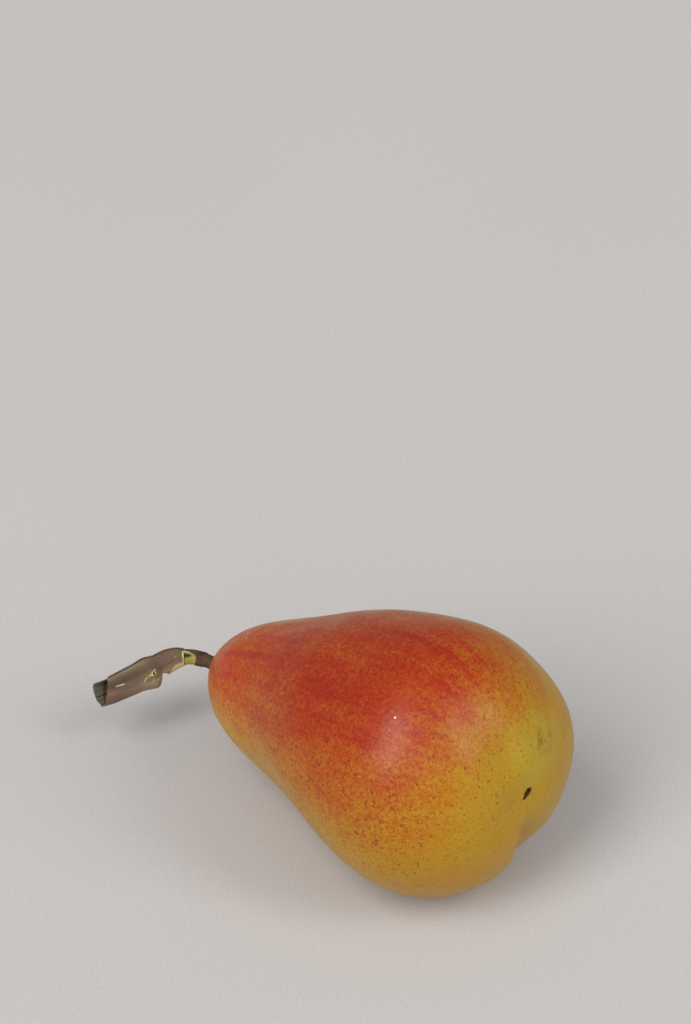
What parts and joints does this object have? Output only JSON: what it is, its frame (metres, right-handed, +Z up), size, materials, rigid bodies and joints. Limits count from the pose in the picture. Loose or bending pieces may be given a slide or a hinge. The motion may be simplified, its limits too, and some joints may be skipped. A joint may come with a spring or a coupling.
{
  "type": "pear",
  "caption": "Ripe red and yellow pear lying on its side, with a bent woody stem in a loose dried sheath and dried sepals in the creased hollow at its flower end.",
  "frame": {"origin": "on the ground under the middle of the whole model's box", "axes": "+Z up, +X along the pear's core from the stem to the flower end"},
  "size_m": [0.1302, 0.0718, 0.0712],
  "materials": {
    "pear_skin": "waxy satin fruit skin, red over yellow with fine russet specks",
    "stem_wood": "matt bark, yellow-green where it is peeled",
    "dried_sheath": "dry, matt and wrinkled, pale yellow at the torn edges",
    "dried_sepals": "dry and matt"
  },
  "bodies": {
    "root": {"fruit": "pear_skin", "stem": "stem_wood", "stem_sheath": "dried_sheath", "calyx": "dried_sepals"}
  },
  "joints": []
}
